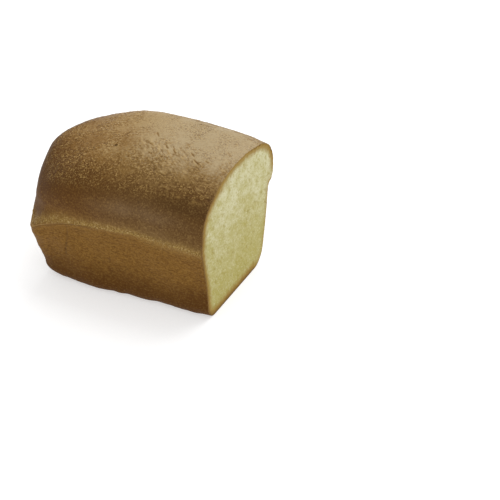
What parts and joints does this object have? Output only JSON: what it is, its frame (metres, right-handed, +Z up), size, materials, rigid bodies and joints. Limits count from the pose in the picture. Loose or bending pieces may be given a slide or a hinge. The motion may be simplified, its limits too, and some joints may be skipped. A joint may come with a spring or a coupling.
{
  "type": "tin loaf",
  "caption": "White bread loaf baked in a tin, partly sliced: a domed brown crust over straight tin-baked walls, with a flat cut face of pale crumb.",
  "frame": {"origin": "middle of the loaf's bounding box in X and Y, on the flat floor it rests on", "axes": "+X along the loaf towards the cut face, +Y from the front side to the back side with the larger overhang, +Z up"},
  "size_m": [0.1626, 0.13, 0.1195],
  "materials": {
    "crust": "baked crust: tan and lightly blistered on the dome, darker and smooth at the shoulder, golden brown on the tin side",
    "crumb": "matt pale yellow crumb with fine pores, as the knife left it"
  },
  "bodies": {
    "root": {"loaf": "crust"}
  },
  "joints": []
}
